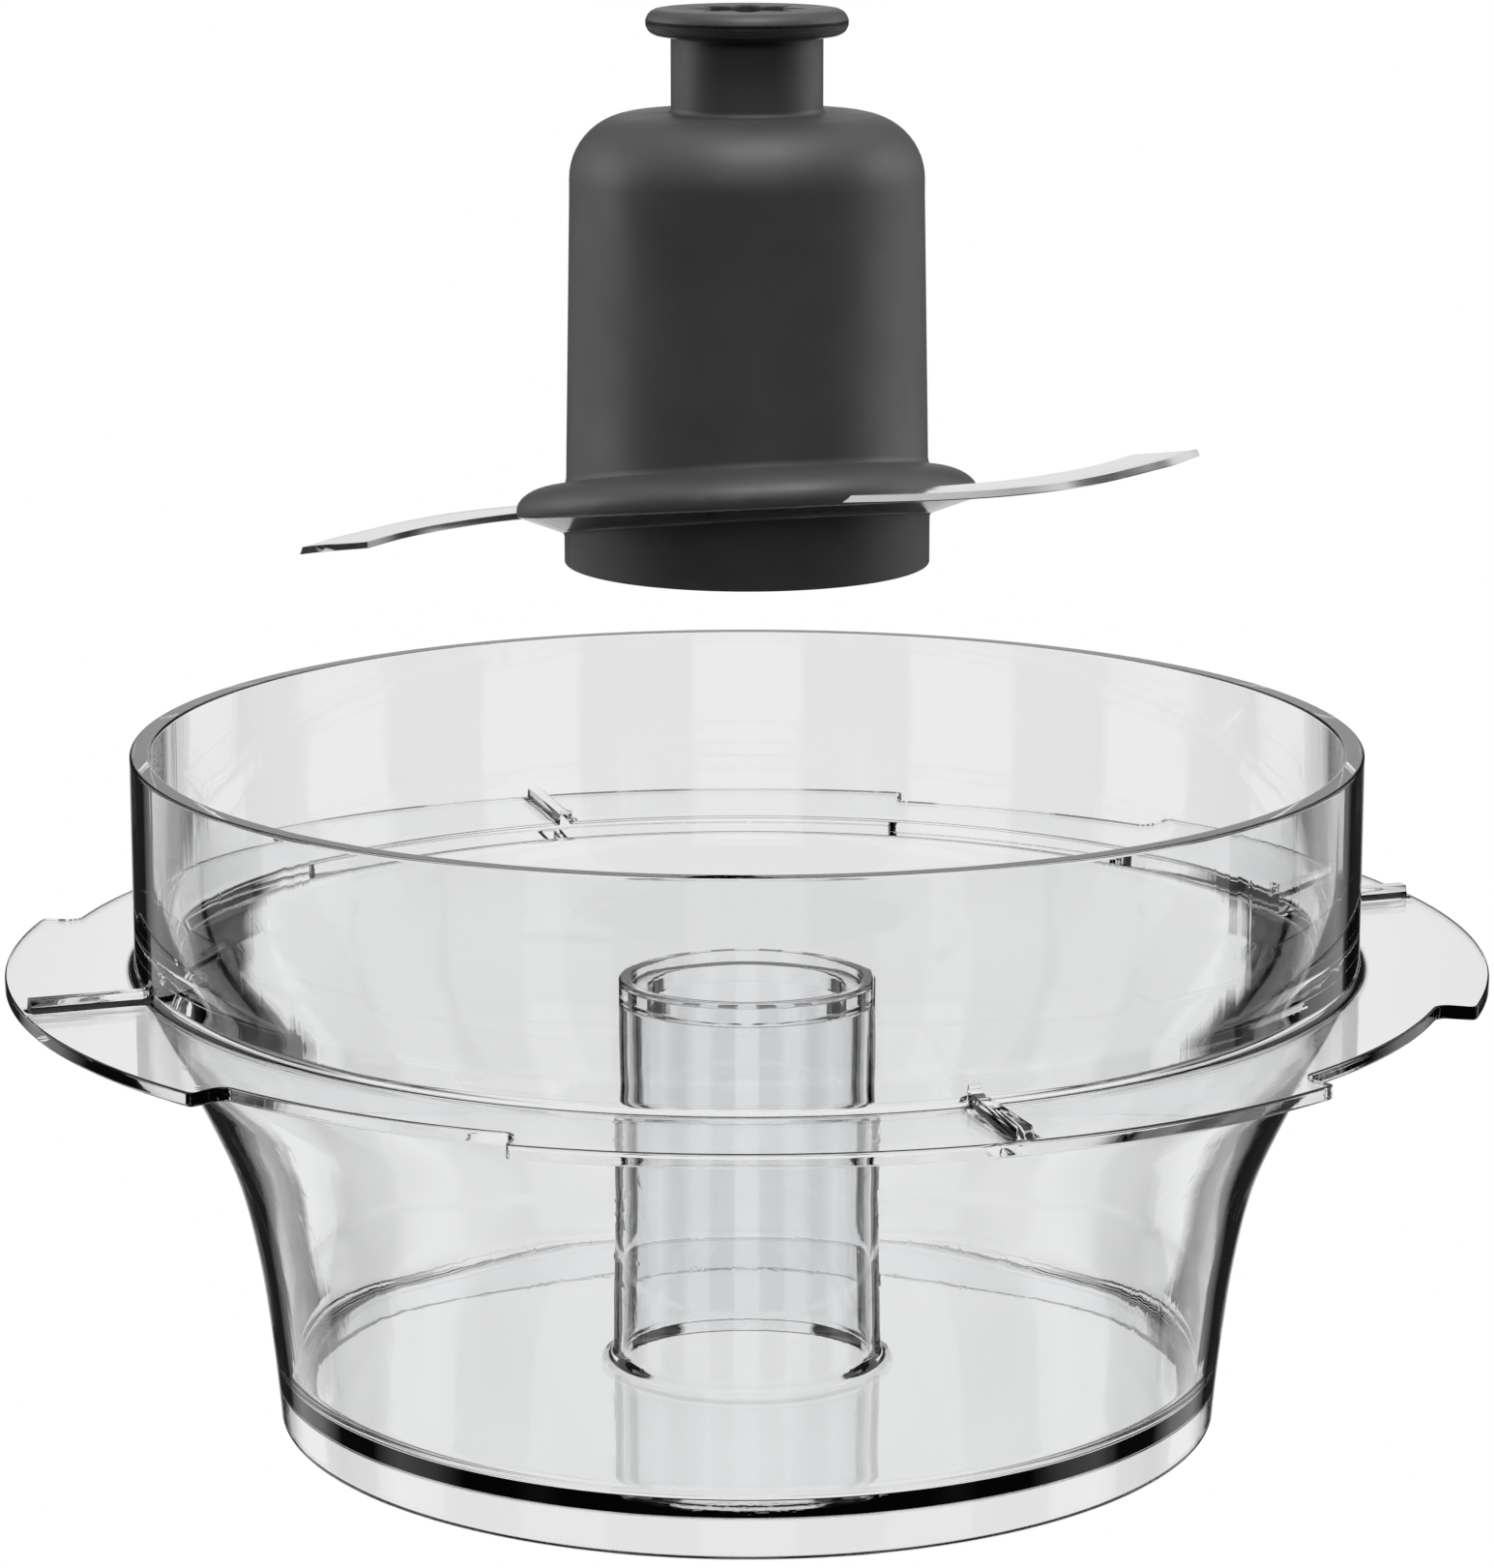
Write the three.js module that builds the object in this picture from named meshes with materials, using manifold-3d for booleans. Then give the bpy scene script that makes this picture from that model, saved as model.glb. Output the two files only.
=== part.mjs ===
// Mini bowl of a food processor with its chopping blade held above it, ready to be lowered in.
// Millimetres, +Z up. The origin is the centre of the bowl's base ring, on the surface it stands on.
// The blade unit is modelled in its own frame, from the bottom of its hub up, and is lifted by bladeLift.

import * as THREE from 'three';
import { mergeVertices } from 'three/addons/utils/BufferGeometryUtils.js';
import Module from 'manifold-3d';

const wasm = await Module();
wasm.setup();

// ---- driving dimensions ----

const gap = 0.3;               // left between neighbouring pieces
const bowlSegments = 60;       // facets round the bowl
const hubSegments = 36;        // facets round the hub and what is in it

const rimRadius = 85;
const rimHeight = 95.4;
const wallThickness = 2.8;
const rimRound = 0.5;
const footRadius = 65.9;
const footWall = 2.2;
const floorTop = 7.5;
const floorThickness = 2.1;
const floorCorner = 2.7;       // fillet where the floor meets the flared side

// outer line of the flared side, as [radius, height], from the foot up to the flange
const flareLine = [[footRadius, 0], [67, 11.5], [68.75, 24], [71.5, 35.6], [76.3, 46.8], [81.9, 57.2], [84.7, 63.7]];
const flareSteps = 12;

// inner line of the wall, as [radius, height], from the straight part down into the flared side
const innerLine = [[82.2, 84], [82.1, 79], [81.8, 74], [81.35, 70], [80.8, 66.5], [80.2, 62.5], [79.15, 58.4]];

const flangeTop = 65.45;
const flangeThickness = 1.9;
const flangeRadius = 97.5;
const lugRadius = 102.7;
const lugs = [[169.2, 227], [253.3, 316.5], [342, 410], [436, 497.5]];   // start and end angles, degrees
const ribAngles = [19.5, 109.5, 199.5, 289.5];
const ribWidth = 1.9;
const ribHeight = 1.6;
const ribEnd = 101.5;

const tubeTop = 61.25;
const tubeTopRadius = 18;
const tubeFootRadius = 18.9;
const tubeWall = 1.4;
const tubeFillet = 1.8;
const seatRadius = 16.1;       // the recess in the tube's mouth that the steady bush drops into
const seatDepth = 1.5;
const mouthRadius = 13.6;
const mouthThickness = 3;

const bladeLift = 120.6;       // height of the hub's bottom above the bowl's base
const hubFootRadius = 25.05;
const hubBody = [24.75, 18];   // radius and height where the foot's draft ends
const hubTopRadius = 24.1;
const hubWall = 2.6;
const shoulderStart = 52.4;
const shoulderTop = 61.2;
const shoulderRadius = 8.8;
const ceiling = 58.4;
const neckRadius = 10.3;
const neckBore = 9;
const neckTop = 71.4;
const capRadius = 13.7;
const capTop = 75.2;

const linerInner = 19.5;       // clears the bowl's tube all round
const linerOuter = 21.2;
const linerBottom = 3.4;
const baseRingInner = 20.3;
const baseRingOuter = 22.1;
const baseRingBottom = 0.2;
const bushBore = 9.3;
const bushBossRadius = 15.5;   // drops into the recess in the tube's mouth
const bushFlangeRadius = 17.4;
const bushBottom = 52.1;
const bushStep = 53.65;

const socketLobes = 8;
const lobeRadius = 7.9;
const rootRadius = 5.3;

const collarRadius = 31.6;
const collarMiddle = 8.3;      // height of the collar's edge, on average
const collarLean = [1.4, -4.7];   // how far the edge rises towards +X and towards +Y

const bladeThickness = 1;
const cuttingLine = [[0, -29.6], [12.5, -29], [30.3, -25.1], [42.8, -17.3], [51.5, -6.2]];   // a blade's long edge
const backCentre = [5.1, 25.1];   // its other edge is an arc about this point
const backRadius = 50.9;
const shoeInner = 25.5;        // the root of a blade wraps part of the way round the hub
const shoeOuter = 29.6;
const shoeStart = -122;
const upperBlade = { bottom: 12.5, turn: 0, heel: [53.4, 8.1], back: [60.7, 11.2], tip: [63.1, 13] };
const lowerBlade = { bottom: 2.9, turn: 180, heel: [52.9, 7], back: [57.7, 9.2], tip: [60.7, 9.6] };

// ---- shape helpers ----

const radians = THREE.MathUtils.degToRad;

// One closed surface whose neighbouring faces share their points.
function closed(geometry) {
  geometry.deleteAttribute('normal');
  geometry.deleteAttribute('uv');
  return mergeVertices(geometry, 1e-4);
}

// Turns a profile of [radius, height] pairs about +Z. The pairs run up the outside and down the inside.
function turned(profile, segments) {
  const points = profile.map(([radius, height]) => new THREE.Vector2(radius, height));
  return closed(new THREE.LatheGeometry(points, segments).rotateX(Math.PI / 2));
}

// A hollow ring: the profile is joined back to its first pair.
function turnedRing(profile, segments) {
  return turned([...profile, profile[0]], segments);
}

// A flat outline raised from bottom to top.
function raised(shape, bottom, top, curveSegments) {
  const options = { depth: top - bottom, bevelEnabled: false, curveSegments };
  return closed(new THREE.ExtrudeGeometry(shape, options).translate(0, 0, bottom));
}

function asSolid(geometry) {
  const vertProperties = new Float32Array(geometry.attributes.position.array);
  const triVerts = new Uint32Array(geometry.index.array);
  return new wasm.Manifold(new wasm.Mesh({ numProp: 3, vertProperties, triVerts }));
}

function asGeometry(solid) {
  const mesh = solid.getMesh();
  const geometry = new THREE.BufferGeometry();
  geometry.setAttribute('position', new THREE.BufferAttribute(new Float32Array(mesh.vertProperties), 3));
  geometry.setIndex(new THREE.BufferAttribute(new Uint32Array(mesh.triVerts), 1));
  return geometry;
}

// Points of an arc about a centre, angles in degrees, both ends included.
function arcPoints([x, y], radius, start, end, steps) {
  const points = [];
  for (let i = 0; i <= steps; i += 1) {
    const angle = radians(start + (end - start) * i / steps);
    points.push([x + radius * Math.cos(angle), y + radius * Math.sin(angle)]);
  }
  return points;
}

function outline(points) {
  return new THREE.Shape(points.map(([x, y]) => new THREE.Vector2(x, y)));
}

// The lobed hole that the drive spindle fits: a wave round a circle.
function splineOutline() {
  const middle = (lobeRadius + rootRadius) / 2;
  const wave = (lobeRadius - rootRadius) / 2;
  const points = [];
  const steps = socketLobes * 6;
  for (let i = 0; i < steps; i += 1) {
    const angle = 2 * Math.PI * i / steps;
    const radius = middle + wave * Math.cos(socketLobes * angle);
    points.push([radius * Math.cos(angle), radius * Math.sin(angle)]);
  }
  return outline(points);
}

// ---- the bowl ----

function bowlProfile() {
  const flare = new THREE.SplineCurve(flareLine.map(([radius, height]) => new THREE.Vector2(radius, height)));
  const outside = [];
  const inside = [];
  for (let i = 0; i <= flareSteps; i += 1) {
    const point = flare.getPoint(i / flareSteps);
    const along = flare.getTangent(i / flareSteps);
    outside.push([point.x, point.y]);
    inside.unshift([point.x - wallThickness * along.y, point.y + wallThickness * along.x]);
  }
  const floorUnderside = floorTop - floorThickness;
  const innerRim = rimRadius - wallThickness;
  const cornerTop = floorTop + floorCorner;
  const bendFoot = innerLine[innerLine.length - 1][1] - 3;
  const side = inside.filter(([, height]) => height > cornerTop + 1 && height < bendFoot);
  const cornerRadius = side[side.length - 1][0] - 0.3;
  const seat = tubeTop - seatDepth;
  return [
    [footRadius - footWall, 0],
    ...outside,
    [rimRadius, flangeTop + 1],
    [rimRadius, rimHeight - rimRound],
    [rimRadius - rimRound, rimHeight],
    [innerRim + rimRound, rimHeight],
    [innerRim, rimHeight - rimRound],
    ...innerLine,
    ...side,
    ...arcPoints([cornerRadius - floorCorner, cornerTop], floorCorner, 0, -90, 3),
    ...arcPoints([tubeFootRadius + tubeFillet, floorTop + tubeFillet], tubeFillet, -90, -180, 3),
    [tubeTopRadius, tubeTop - rimRound],
    [tubeTopRadius - rimRound, tubeTop],
    [seatRadius, tubeTop],
    [seatRadius, seat],
    [mouthRadius, seat],
    [mouthRadius, seat - mouthThickness],
    [tubeTopRadius - tubeWall, seat - mouthThickness],
    [tubeFootRadius - tubeWall, floorUnderside],
    [footRadius - footWall, floorUnderside],
  ];
}

// The flange is a thin ring, wider at its four lugs, open in the middle for the wall.
function flange() {
  const points = [];
  lugs.forEach(([start, end], i) => {
    const next = (lugs[i + 1] || [lugs[0][0] + 360])[0];
    const steps = Math.round((end - start) / 6);
    points.push(...arcPoints([0, 0], lugRadius, start, end, steps));
    points.push(...arcPoints([0, 0], flangeRadius, end, next, 4));
  });
  const shape = outline(points);
  shape.holes.push(outline(arcPoints([0, 0], rimRadius - wallThickness / 2, 0, 354, bowlSegments - 1)));
  return raised(shape, flangeTop - flangeThickness, flangeTop, 1);
}

function rib(angle) {
  const length = ribEnd - rimRadius + 1;
  const sunk = 0.5;
  const box = new THREE.BoxGeometry(length, ribWidth, ribHeight + sunk);
  box.translate(ribEnd - length / 2, 0, flangeTop + (ribHeight - sunk) / 2);
  return closed(box.rotateZ(radians(angle)));
}

function bowlGeometry() {
  let bowl = asSolid(turnedRing(bowlProfile(), bowlSegments)).add(asSolid(flange()));
  for (const angle of ribAngles) {
    bowl = bowl.add(asSolid(rib(angle)));
  }
  return asGeometry(bowl);
}

// ---- the blade unit ----

function hubShellGeometry() {
  const corner = [hubTopRadius - shoulderRadius, shoulderStart];
  const innerTop = hubTopRadius - hubWall;
  return turnedRing([
    [hubFootRadius - hubWall, 0],
    [hubFootRadius, 0],
    hubBody,
    ...arcPoints(corner, shoulderRadius, 0, 80, 6),
    [neckRadius + 0.7, shoulderTop + 0.2],
    [neckRadius, shoulderTop + 1],
    [neckRadius, neckTop],
    [neckBore, neckTop],
    [neckBore, ceiling],
    [17.8, ceiling],
    [20.3, ceiling - 1.6],
    [innerTop, shoulderStart],
  ], hubSegments);
}

function gripCapGeometry() {
  const bottom = neckTop + gap;
  const round = (capTop - bottom) / 2;
  const profile = [
    [0, bottom],
    ...arcPoints([capRadius - round, bottom + round], round, -90, 90, 6),
    [0, capTop],
  ];
  const hole = raised(splineOutline(), bottom - 1, capTop + 1, 1);
  return asGeometry(asSolid(turned(profile, hubSegments)).subtract(asSolid(hole)));
}

// Splined sleeve in the neck, which the drive spindle turns.
function driveSocketGeometry() {
  const bottom = ceiling + 0.6;
  const top = neckTop - 0.2;
  const radius = neckBore - gap;
  const shape = outline(arcPoints([0, 0], radius, 0, 352.5, 47));
  shape.holes.push(splineOutline());
  return raised(shape, bottom, top, 1);
}

// Inner sleeve, which passes over the bowl's tube with a little room all round.
function hubLinerGeometry() {
  const top = shoulderStart - 0.4;
  return turnedRing([
    [linerInner, linerBottom],
    [linerOuter, linerBottom],
    [linerOuter, top],
    [linerInner, top],
  ], hubSegments);
}

// Ring that closes the space between the shell and the inner sleeve.
function baseRingGeometry() {
  const top = linerBottom - gap;
  return turnedRing([
    [baseRingInner, baseRingBottom],
    [baseRingOuter, baseRingBottom],
    [baseRingOuter, top],
    [baseRingInner, top],
  ], hubSegments);
}

// Bearing ring under the hub's ceiling. Its boss drops into the recess in the tube's mouth.
function steadyBushGeometry() {
  const top = ceiling - 0.4;
  return turnedRing([
    [bushBore, bushBottom],
    [bushBossRadius, bushBottom],
    [bushBossRadius, bushStep],
    [bushFlangeRadius, bushStep],
    [bushFlangeRadius, top],
    [bushBore, top],
  ], hubSegments);
}

// Outline of one sickle blade pointing to +X. grow widens it all round, for the slot it sits in.
function bladeOutline({ heel, back, tip }, grow = 0) {
  const line = [...cuttingLine, tip].map(([x, y]) => new THREE.Vector2(x, y - grow));
  const edge = new THREE.SplineCurve(line).getPoints(14).map((point) => [point.x, point.y]);
  const heelAngle = THREE.MathUtils.radToDeg(Math.atan2(heel[1] - backCentre[1], heel[0] - backCentre[0]));
  return outline([
    ...arcPoints([0, 0], shoeOuter + grow, shoeStart - grow, -93, 4),
    ...edge,
    [tip[0] + grow, tip[1] + grow],
    [back[0], back[1] + grow],
    [heel[0] - grow, heel[1] + grow],
    ...arcPoints(backCentre, backRadius - grow, heelAngle - 1, -84, 9),
    ...arcPoints([0, 0], shoeInner - grow, -78, shoeStart - grow, 5),
  ]);
}

function bladeGeometry(blade, grow = 0) {
  const shape = bladeOutline(blade, grow);
  const bottom = blade.bottom - grow;
  const top = blade.bottom + bladeThickness + grow;
  return raised(shape, bottom, top, 1).rotateZ(radians(blade.turn));
}

// The collar is a lathed ring leaned over, so that its edge follows both blade roots.
function bladeCollarGeometry() {
  const bore = hubFootRadius + gap;
  const ring = turnedRing([
    [bore, -3.1],
    [28.8, -2],
    [30.7, -1.5],
    [collarRadius, -0.4],
    [collarRadius, 0.6],
    [30.6, 1.7],
    [28.4, 2.5],
    [26.4, 3.2],
    [bore, 4],
  ], hubSegments);
  const position = ring.attributes.position;
  for (let i = 0; i < position.count; i += 1) {
    const x = position.getX(i);
    const y = position.getY(i);
    const radius = Math.hypot(x, y);
    const lean = (collarLean[0] * x + collarLean[1] * y) / radius;
    position.setZ(i, position.getZ(i) + collarMiddle + lean);
  }
  const slots = asSolid(bladeGeometry(upperBlade, gap)).add(asSolid(bladeGeometry(lowerBlade, gap)));
  return asGeometry(asSolid(ring).subtract(slots));
}

// ---- the assembly ----

const clearPlastic = { color: 0xe4e6e8, roughness: 0.05, metalness: 0, transparent: true, opacity: 0.35 };
const darkPlastic = { color: 0x3a3a3a, roughness: 0.5, metalness: 0 };
const steel = { color: 0xc9cacc, roughness: 0.28, metalness: 1 };
const bearingPlastic = { color: 0xe9e7df, roughness: 0.4, metalness: 0 };

function piece(name, geometry, finish) {
  const mesh = new THREE.Mesh(geometry, new THREE.MeshStandardMaterial(finish));
  mesh.name = name;
  return mesh;
}

const bladeUnit = new THREE.Group();
bladeUnit.position.z = bladeLift;
bladeUnit.add(
  piece('hub_shell', hubShellGeometry(), darkPlastic),
  piece('grip_cap', gripCapGeometry(), darkPlastic),
  piece('blade_collar', bladeCollarGeometry(), darkPlastic),
  piece('hub_liner', hubLinerGeometry(), darkPlastic),
  piece('base_ring', baseRingGeometry(), darkPlastic),
  piece('drive_socket', driveSocketGeometry(), steel),
  piece('steady_bush', steadyBushGeometry(), bearingPlastic),
  piece('upper_blade', bladeGeometry(upperBlade), steel),
  piece('lower_blade', bladeGeometry(lowerBlade), steel),
);

const miniBowlSet = new THREE.Group();
miniBowlSet.add(piece('bowl', bowlGeometry(), clearPlastic), bladeUnit);

export default miniBowlSet;
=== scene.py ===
import math
import bpy
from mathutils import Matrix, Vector


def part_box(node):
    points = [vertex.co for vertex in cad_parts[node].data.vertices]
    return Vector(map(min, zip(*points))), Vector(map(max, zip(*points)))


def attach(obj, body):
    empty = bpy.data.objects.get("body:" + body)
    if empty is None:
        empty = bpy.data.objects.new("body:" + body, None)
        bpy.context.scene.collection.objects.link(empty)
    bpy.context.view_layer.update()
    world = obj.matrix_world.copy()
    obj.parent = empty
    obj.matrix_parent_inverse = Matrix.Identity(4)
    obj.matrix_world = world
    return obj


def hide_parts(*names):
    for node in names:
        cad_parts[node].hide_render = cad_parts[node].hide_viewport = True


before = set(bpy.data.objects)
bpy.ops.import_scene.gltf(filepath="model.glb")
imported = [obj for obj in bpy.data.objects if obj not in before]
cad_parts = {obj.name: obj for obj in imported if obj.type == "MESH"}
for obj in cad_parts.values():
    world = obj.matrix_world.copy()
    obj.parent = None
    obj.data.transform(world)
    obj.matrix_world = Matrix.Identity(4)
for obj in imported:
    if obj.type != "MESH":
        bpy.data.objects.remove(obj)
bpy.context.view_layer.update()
mm = 0.001  # sizes below are in millimetres, meshes are in metres


# Low and high corners of a CAD node's box, in millimetres.
def boxOf(node):
    return [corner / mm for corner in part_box(node)]


bowlHigh = boxOf("bowl")[1]
capHigh = boxOf("grip_cap")[1]
hubBase = boxOf("hub_shell")[0].z


# Corners are (x, y, rounding). A point just outside each arc keeps the flat beside it flat.
def roundedLoop(corners, arcSteps=5):
    points = []
    for i, (x, y, rounding) in enumerate(corners):
        here = Vector((x, y))
        if not rounding:
            points.append(here)
            continue
        before = (Vector(corners[i - 1][:2]) - here).normalized()
        after = (Vector(corners[(i + 1) % len(corners)][:2]) - here).normalized()
        half = before.angle(after) / 2
        reach = rounding / math.tan(half)
        centre = here + (before + after).normalized() * rounding / math.sin(half)
        start = here + before * reach - centre
        end = here + after * reach - centre
        side = 1 if start.x * end.y > start.y * end.x else -1
        points.append(here + before * reach * 1.25)
        for step in range(arcSteps + 1):
            angle = side * (math.pi - 2 * half) * step / arcSteps
            turned = Vector((start.x * math.cos(angle) - start.y * math.sin(angle),
                             start.x * math.sin(angle) + start.y * math.cos(angle)))
            points.append(centre + turned)
        points.append(here + after * reach * 1.25)
    return points


# An even curve through a few points.
def smoothLine(points, steps):
    line = []
    knots = [Vector(p) for p in points]
    for i in range(len(knots) - 1):
        p0, p1 = knots[max(i - 1, 0)], knots[i]
        p2, p3 = knots[i + 1], knots[min(i + 2, len(knots) - 1)]
        for step in range(steps):
            t = step / steps
            line.append(0.5 * (2 * p1 + (p2 - p0) * t + (2 * p0 - 5 * p1 + 4 * p2 - p3) * t * t
                               + (3 * p1 - p0 - 3 * p2 + p3) * t * t * t))
    line.append(knots[-1])
    return line


def meshObject(name, points, faces, smooth=True):
    mesh = bpy.data.meshes.new(name)
    mesh.from_pydata([Vector(p) * mm for p in points], [], faces)
    mesh.validate()
    if smooth:
        mesh.shade_smooth()
    piece = bpy.data.objects.new(name, mesh)
    bpy.context.scene.collection.objects.link(piece)
    return piece


# A closed skin round +Z. loopAt(angle) gives as many (radius, height) points at every angle.
def sweptSkin(name, loopAt, angles, lift=0):
    points, faces = [], []
    rows = 0
    for angle in angles:
        loop = loopAt(angle)
        rows = len(loop)
        a = math.radians(angle)
        points += [(r * math.cos(a), r * math.sin(a), z + lift) for r, z in loop]
    for i in range(len(angles)):
        j = (i + 1) % len(angles)
        for k in range(rows):
            n = (k + 1) % rows
            faces.append((i * rows + k, j * rows + k, j * rows + n, i * rows + n))
    return meshObject(name, points, faces)


def evenAngles(count):
    return [360 * i / count for i in range(count)]


def standsFor(piece, body, slot, material, *nodes):
    piece.data.materials.append(material)
    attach(piece, body)
    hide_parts(*nodes)


# Effects that several finishes share. Inputs are (name, kind, value), outputs (name, kind).
def newGroup(name, inputs, outputs):
    tree = bpy.data.node_groups.new(name, "ShaderNodeTree")
    for socketName, kind, value in inputs:
        socket = tree.interface.new_socket(name=socketName, in_out="INPUT", socket_type=kind)
        if value is not None:
            socket.default_value = value
    for socketName, kind in outputs:
        tree.interface.new_socket(name=socketName, in_out="OUTPUT", socket_type=kind)
    start = tree.nodes.new("NodeGroupInput")
    end = tree.nodes.new("NodeGroupOutput")
    return tree, start, end


def addNode(tree, kind, settings=None, values=None):
    node = tree.nodes.new(kind)
    for key, value in (settings or {}).items():
        setattr(node, key, value)
    for key, value in (values or {}).items():
        node.inputs[key].default_value = value
    return node


def remap(tree, source, fromLow, fromHigh, toLow, toHigh):
    node = addNode(tree, "ShaderNodeMapRange", values={1: fromLow, 2: fromHigh, 3: toLow, 4: toHigh})
    tree.links.new(source, node.inputs[0])
    return node.outputs[0]


# Fine spark-eroded texture of a moulding: a height for bump, and a tone that goes with it.
def makeMouldGrain():
    tree, start, end = newGroup("mouldGrain", [
        ("Vector", "NodeSocketVector", None),
        ("Size", "NodeSocketFloat", 3000.0),
        ("Mottle", "NodeSocketFloat", 90.0),
    ], [("Height", "NodeSocketFloat"), ("Tone", "NodeSocketFloat")])
    grain = addNode(tree, "ShaderNodeTexNoise", values={"Detail": 2.0, "Roughness": 0.6})
    mottle = addNode(tree, "ShaderNodeTexNoise", values={"Detail": 3.0})
    for node, socket in ((grain, "Size"), (mottle, "Mottle")):
        tree.links.new(start.outputs["Vector"], node.inputs["Vector"])
        tree.links.new(start.outputs[socket], node.inputs["Scale"])
    tree.links.new(grain.outputs[0], end.inputs["Height"])
    tree.links.new(remap(tree, mottle.outputs[0], 0.3, 0.7, 0.0, 1.0), end.inputs["Tone"])
    return tree


# Where hands and a cloth have been: soft patches with fine rubbed lines in them.
def makeHandling():
    tree, start, end = newGroup("handling", [
        ("Vector", "NodeSocketVector", None),
        ("Patch", "NodeSocketFloat", 30.0),
        ("Lines", "NodeSocketFloat", 900.0),
    ], [("Mask", "NodeSocketFloat"), ("Scratch", "NodeSocketFloat")])
    patch = addNode(tree, "ShaderNodeTexNoise", values={"Detail": 4.0, "Distortion": 0.6})
    stretch = addNode(tree, "ShaderNodeMapping",
                      values={"Scale": (1.0, 1.0, 0.06), "Rotation": (0.5, 0.2, 0.0)})
    lines = addNode(tree, "ShaderNodeTexNoise", values={"Detail": 1.0})
    tree.links.new(start.outputs["Vector"], patch.inputs["Vector"])
    tree.links.new(start.outputs["Patch"], patch.inputs["Scale"])
    tree.links.new(start.outputs["Vector"], stretch.inputs["Vector"])
    tree.links.new(stretch.outputs[0], lines.inputs["Vector"])
    tree.links.new(start.outputs["Lines"], lines.inputs["Scale"])
    tree.links.new(remap(tree, patch.outputs[0], 0.45, 0.7, 0.0, 1.0), end.inputs["Mask"])
    tree.links.new(remap(tree, lines.outputs[0], 0.62, 0.78, 0.0, 1.0), end.inputs["Scratch"])
    return tree


# Rubbed edges, from how sharply the surface turns.
def makeEdgeWear():
    tree, start, end = newGroup("edgeWear", [
        ("Vector", "NodeSocketVector", None),
        ("Low", "NodeSocketFloat", 0.52),
        ("High", "NodeSocketFloat", 0.6),
    ], [("Mask", "NodeSocketFloat")])
    shape = addNode(tree, "ShaderNodeNewGeometry")
    turn = addNode(tree, "ShaderNodeMapRange")
    broken = addNode(tree, "ShaderNodeTexNoise", values={"Scale": 260.0, "Detail": 3.0})
    product = addNode(tree, "ShaderNodeMath", {"operation": "MULTIPLY"})
    tree.links.new(shape.outputs["Pointiness"], turn.inputs[0])
    tree.links.new(start.outputs["Low"], turn.inputs[1])
    tree.links.new(start.outputs["High"], turn.inputs[2])
    tree.links.new(start.outputs["Vector"], broken.inputs["Vector"])
    tree.links.new(turn.outputs[0], product.inputs[0])
    tree.links.new(remap(tree, broken.outputs[0], 0.35, 0.6, 0.2, 1.0), product.inputs[1])
    tree.links.new(product.outputs[0], end.inputs["Mask"])
    return tree


mouldGrain = makeMouldGrain()
handling = makeHandling()
edgeWear = makeEdgeWear()


# One material: a shader, object coordinates, and short ways to link things to it.
class Finish:
    def __init__(self, name, fixed):
        self.material = bpy.data.materials.new(name)
        self.material.use_nodes = True
        self.tree = self.material.node_tree
        self.tree.nodes.clear()
        self.shader = self.tree.nodes.new("ShaderNodeBsdfPrincipled")
        self.output = self.tree.nodes.new("ShaderNodeOutputMaterial")
        self.tree.links.new(self.shader.outputs[0], self.output.inputs["Surface"])
        self.place = self.tree.nodes.new("ShaderNodeTexCoord")
        for key, value in fixed.items():
            self.shader.inputs[key].default_value = value

    def group(self, tree, values):
        node = addNode(self.tree, "ShaderNodeGroup", {"node_tree": tree}, values)
        self.tree.links.new(self.place.outputs["Object"], node.inputs["Vector"])
        return node

    def mixColour(self, mask, low, high):
        node = addNode(self.tree, "ShaderNodeMix", {"data_type": "RGBA"})
        for socket, value in ((node.inputs[6], low), (node.inputs[7], high)):
            if isinstance(value, tuple):
                socket.default_value = value
            else:
                self.tree.links.new(value, socket)
        self.tree.links.new(mask, node.inputs[0])
        return node.outputs[2]

    def bump(self, height, distance, strength=1.0, after=None):
        node = addNode(self.tree, "ShaderNodeBump", values={"Distance": distance, "Strength": strength})
        self.tree.links.new(height, node.inputs["Height"])
        if after is not None:
            self.tree.links.new(after, node.inputs["Normal"])
        return node.outputs[0]

    def feed(self, value, socket):
        self.tree.links.new(value, self.shader.inputs[socket])

    def roughness(self, mask, clean, marked):
        return remap(self.tree, mask, 0.0, 1.0, clean, marked)


clearLook = {
    "tint": (0.965, 0.968, 0.972, 1.0),
    "ior": 1.5,
    "polish": 0.0,       # roughness where it is clean
    "handled": 0.012,    # roughness where it has been handled
    "flow": 0.00012,     # depth of the slow ripple left by moulding, in metres
    "scratch": 0.000004,
    "patch": 26.0, "lines": 700.0,
}


def clearPlastic():
    look = clearLook
    finish = Finish("clearPlastic", {
        "Base Color": look["tint"], "IOR": look["ior"], "Transmission Weight": 1.0, "Metallic": 0.0})
    hands = finish.group(handling, {"Patch": look["patch"], "Lines": look["lines"]})
    finish.feed(finish.roughness(hands.outputs["Mask"], look["polish"], look["handled"]), "Roughness")
    flow = addNode(finish.tree, "ShaderNodeTexNoise",
                   values={"Scale": 22.0, "Detail": 1.0, "Distortion": 0.4})
    finish.tree.links.new(finish.place.outputs["Object"], flow.inputs["Vector"])
    ripple = finish.bump(flow.outputs[0], look["flow"])
    finish.feed(finish.bump(hands.outputs["Scratch"], look["scratch"], 0.5, ripple), "Normal")
    return finish.material


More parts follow.
